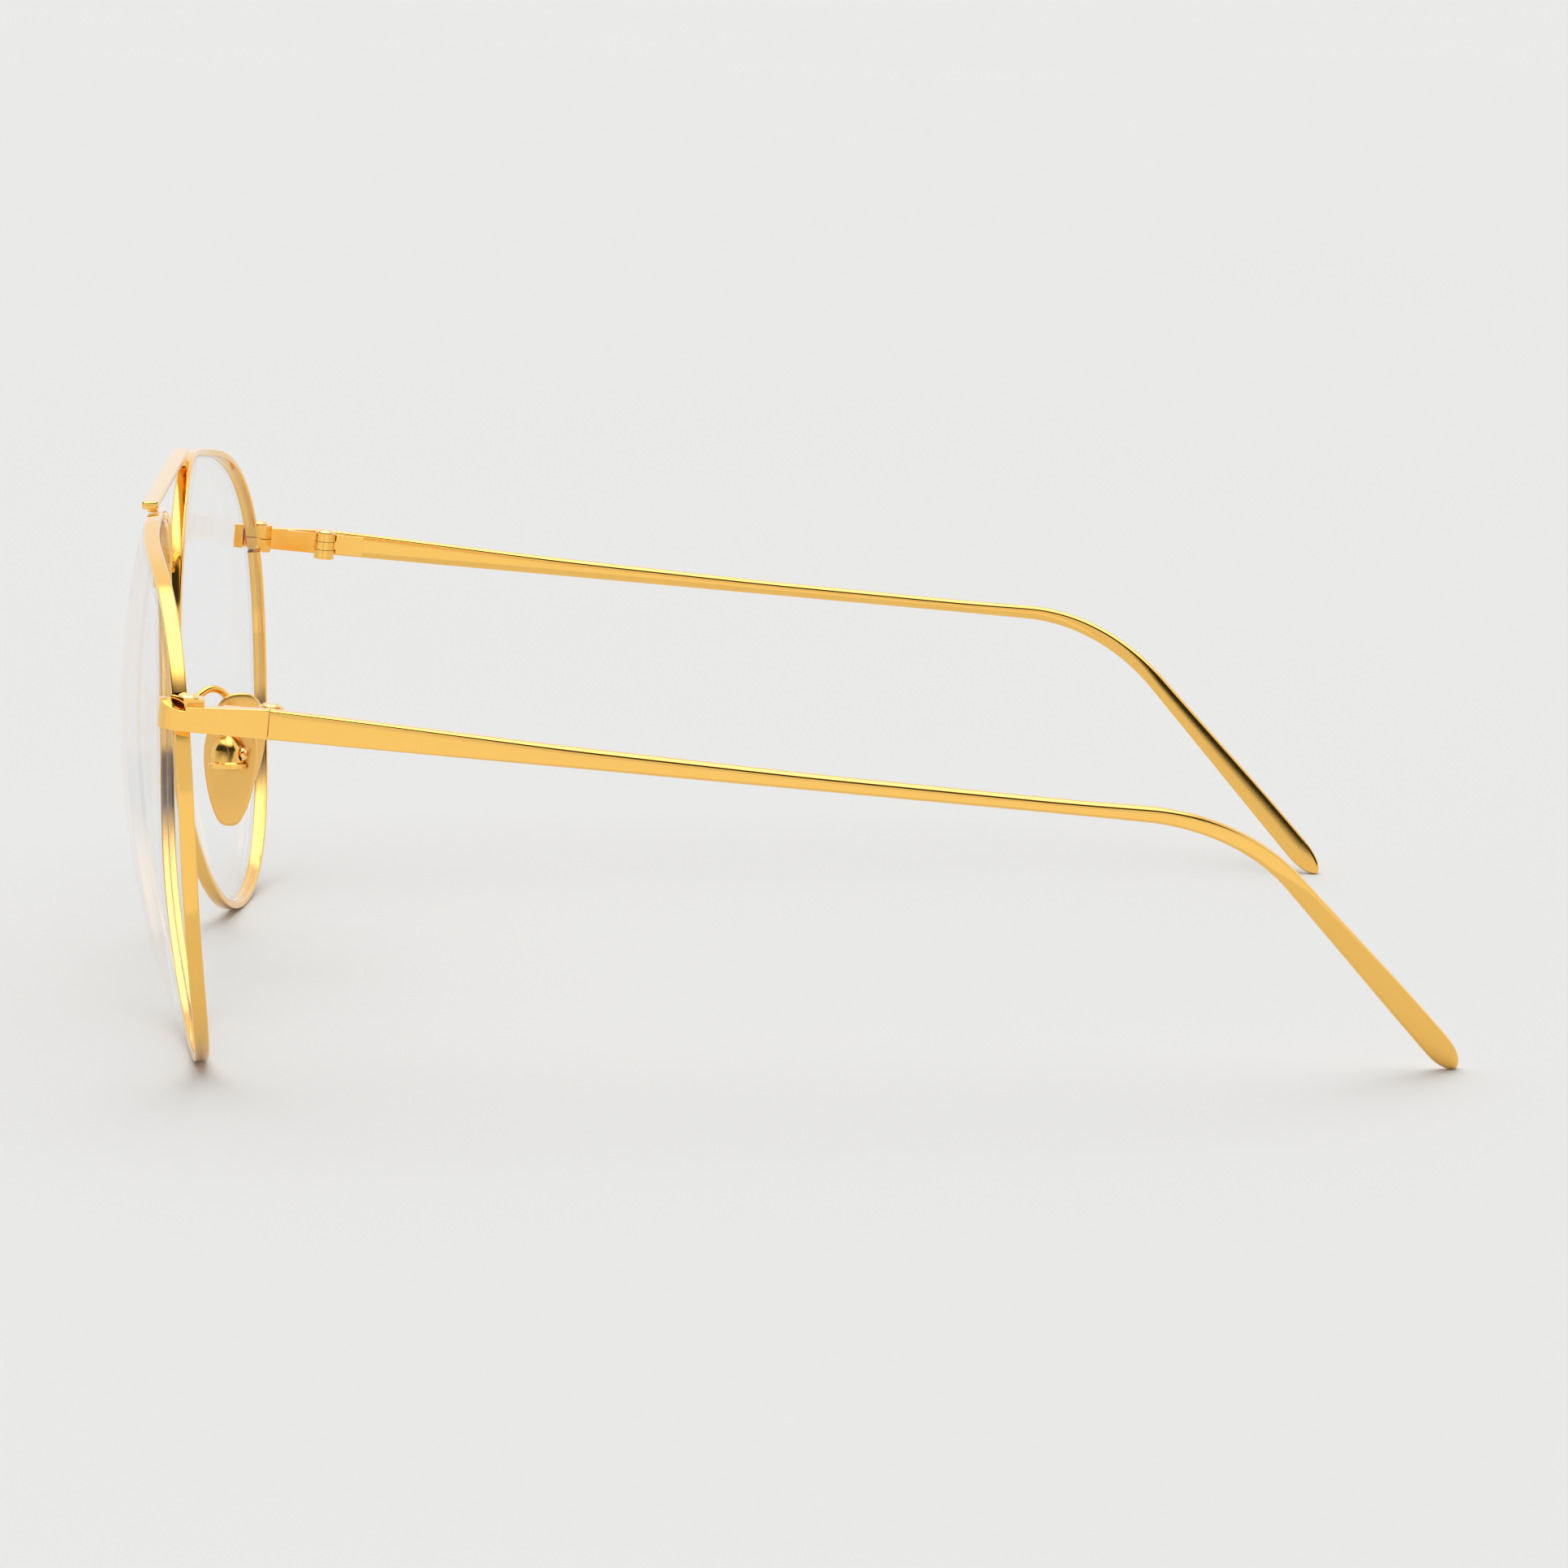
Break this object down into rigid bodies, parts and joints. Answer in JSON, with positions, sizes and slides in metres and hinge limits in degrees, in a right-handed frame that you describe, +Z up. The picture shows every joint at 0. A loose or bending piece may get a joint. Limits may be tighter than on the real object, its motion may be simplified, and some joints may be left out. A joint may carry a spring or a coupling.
{
  "type": "eyeglasses",
  "caption": "Metal eyeglasses with full flat-strip rims around clear lenses, a straight brow bar over an arched bridge, metal nose pads and slim folding temples.",
  "frame": {"origin": "centre of the bounding box in plan, on the surface that the rims and the temple tips stand on", "axes": "+X to the wearer's left, +Y rearwards along the open temples, +Z up"},
  "size_m": [0.1406, 0.1499, 0.0609],
  "materials": {
    "polished_gold": "polished gold plating",
    "satin_gold": "satin gold plating",
    "screw_gold": "bright gold plating",
    "clear_lens": "clear, polished, uncoated"
  },
  "bodies": {
    "front": {"brow_bar": "polished_gold", "lower_bridge": "polished_gold", "rim_left": "polished_gold", "lens_left": "clear_lens", "endpiece_left": "polished_gold", "closing_block_upper_left": "polished_gold", "closing_block_lower_left": "polished_gold", "closing_screw_left": "screw_gold", "hinge_front_left": "polished_gold", "hinge_screw_left": "screw_gold", "pad_arm_left": "polished_gold", "pad_box_left": "polished_gold", "pad_screw_left": "screw_gold", "rim_right": "polished_gold", "lens_right": "clear_lens", "endpiece_right": "polished_gold", "closing_block_upper_right": "polished_gold", "closing_block_lower_right": "polished_gold", "closing_screw_right": "screw_gold", "hinge_front_right": "polished_gold", "hinge_screw_right": "screw_gold", "pad_arm_right": "polished_gold", "pad_box_right": "polished_gold", "pad_screw_right": "screw_gold"},
    "temple_left": {"temple_left": "polished_gold", "hinge_rear_left": "polished_gold"},
    "temple_right": {"temple_right": "polished_gold", "hinge_rear_right": "polished_gold"},
    "nose_pad_left": {"nose_pad_left": "satin_gold"},
    "nose_pad_right": {"nose_pad_right": "satin_gold"}
  },
  "joints": [
    {"name": "temple_left_fold", "type": "hinge", "parent": "front", "child": "temple_left", "pos_m": [0.066, -0.05615, 0.043], "axis": [0, 0.1045, 0.9945], "range_deg": [0, 86]},
    {"name": "temple_right_fold", "type": "hinge", "parent": "front", "child": "temple_right", "pos_m": [-0.066, -0.05615, 0.043], "axis": [0, -0.1045, -0.9945], "range_deg": [0, 72]},
    {"name": "nose_pad_left_rock", "type": "hinge", "parent": "front", "child": "nose_pad_left", "pos_m": [0.0099, -0.06455, 0.029], "axis": [0.2079, 0.9781, 0], "range_deg": [-10, 10]},
    {"name": "nose_pad_right_rock", "type": "hinge", "parent": "front", "child": "nose_pad_right", "pos_m": [-0.0099, -0.06455, 0.029], "axis": [-0.2079, 0.9781, 0], "range_deg": [-10, 10]}
  ]
}
